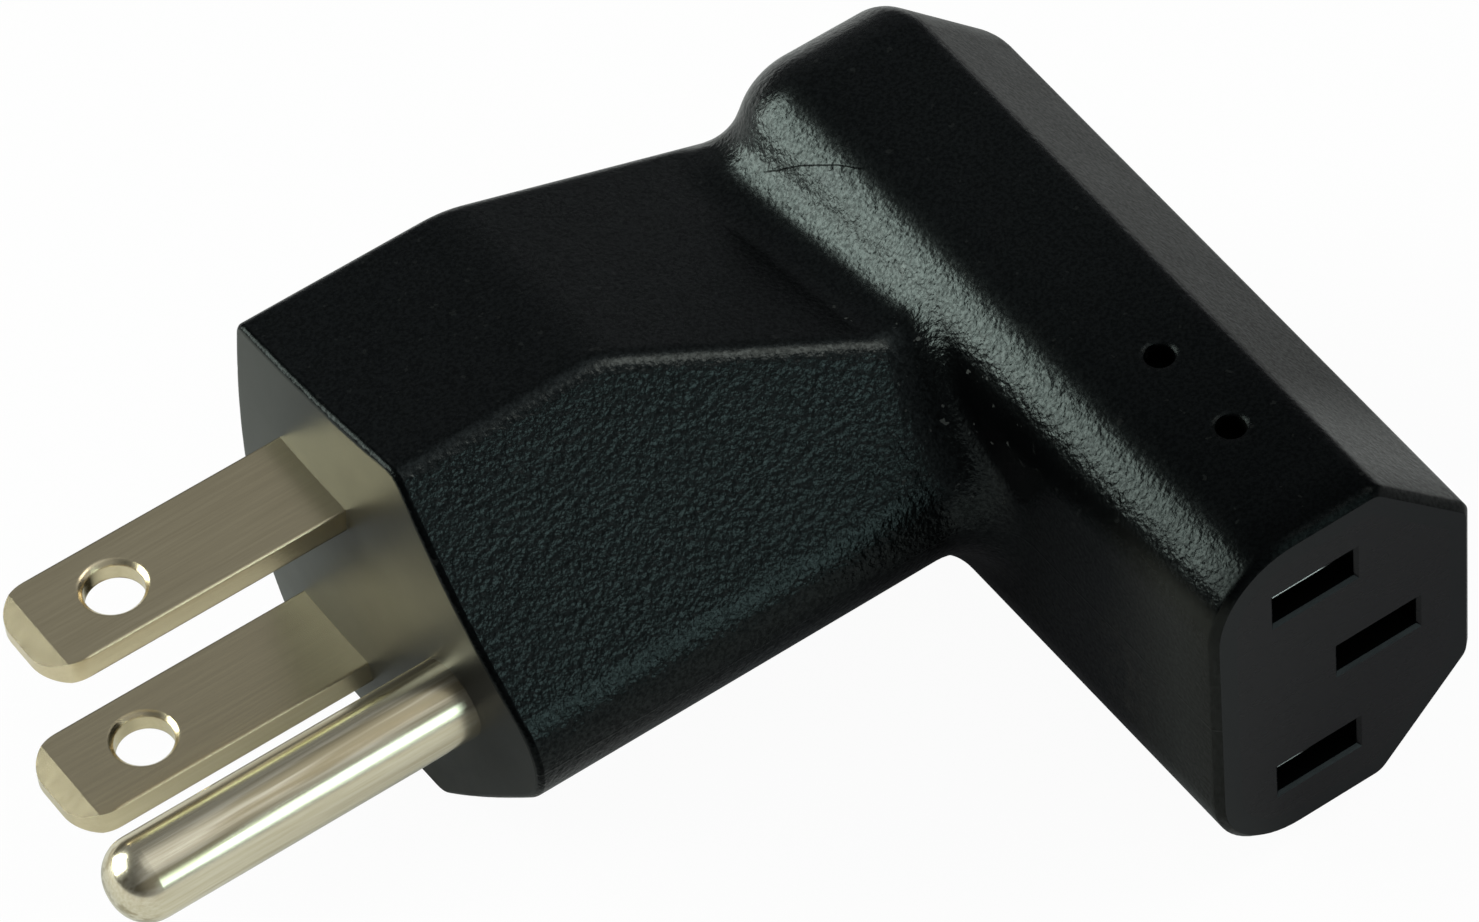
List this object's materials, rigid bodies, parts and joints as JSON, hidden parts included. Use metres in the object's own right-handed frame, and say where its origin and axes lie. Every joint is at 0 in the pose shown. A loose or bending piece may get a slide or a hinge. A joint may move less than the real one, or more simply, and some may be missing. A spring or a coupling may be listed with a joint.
{
  "type": "right angle plug adapter",
  "caption": "Right-angle mains adapter: flat blades and a round earth pin on one end, an appliance outlet facing sideways on the other, in one moulded black body.",
  "frame": {"origin": "crown of the plug face, on the parting plane, midway between the flat blades", "axes": "-X out of the plug face along the blades, -Y out of the outlet, +Z across the blades from line to neutral"},
  "size_m": [0.0683, 0.046, 0.0266],
  "materials": {
    "body_plastic": "fine-grained moulded vinyl, semi-matt",
    "core_plastic": "smooth hard plastic",
    "bridge_plastic": "smooth hard plastic",
    "plated_blade": "nickel plated, satin",
    "plated_pin": "nickel plated, drawn",
    "spring_brass": "bare strip",
    "copper": "bare copper",
    "white_sleeve": "extruded vinyl",
    "black_sleeve": "extruded vinyl",
    "green_sleeve": "extruded vinyl"
  },
  "bodies": {
    "root": {"moulded_body": "body_plastic", "socket_core": "core_plastic", "socket_rear_cap": "core_plastic", "plug_bridge": "bridge_plastic", "neutral_blade": "plated_blade", "line_blade": "plated_blade", "earth_pin": "plated_pin", "neutral_contact": "spring_brass", "line_contact": "spring_brass", "earth_contact": "spring_brass", "neutral_wire": "copper", "line_wire": "copper", "earth_wire": "copper", "neutral_insulation": "white_sleeve", "line_insulation": "black_sleeve", "earth_insulation": "green_sleeve"}
  },
  "joints": []
}
